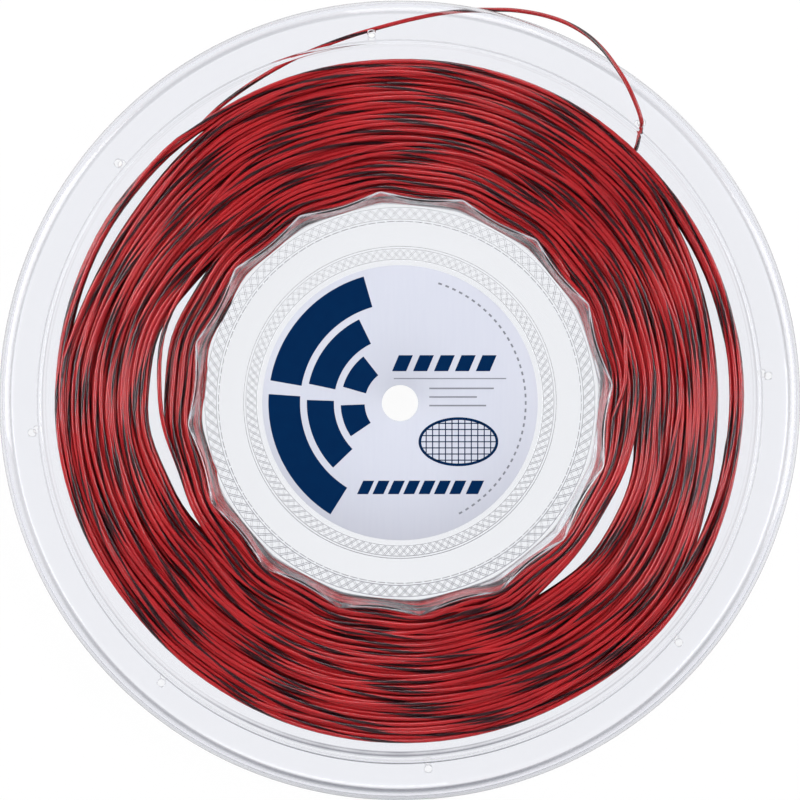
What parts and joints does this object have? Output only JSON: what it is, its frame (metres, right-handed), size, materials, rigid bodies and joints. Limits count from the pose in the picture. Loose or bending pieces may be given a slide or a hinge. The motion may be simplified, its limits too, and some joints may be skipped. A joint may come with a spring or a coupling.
{
  "type": "tennis string reel",
  "caption": "Clear two-shell reel of red and black tennis string with a silver-grey hub label.",
  "frame": {"origin": "on the resting surface, under the centre of the spindle hole", "axes": "+Z along the reel's axis, from the back shell to the labelled front shell; +X to the picture's right and +Y to its top"},
  "size_m": [0.2598, 0.2598, 0.0197],
  "materials": {
    "clear_shell": "gloss",
    "label_paper": "satin",
    "string": "gloss"
  },
  "bodies": {
    "root": {"front_shell": "clear_shell", "back_shell": "clear_shell", "hub_label": "label_paper", "winding_core": "string", "string_turns": "string", "string_tail": "string"}
  },
  "joints": []
}
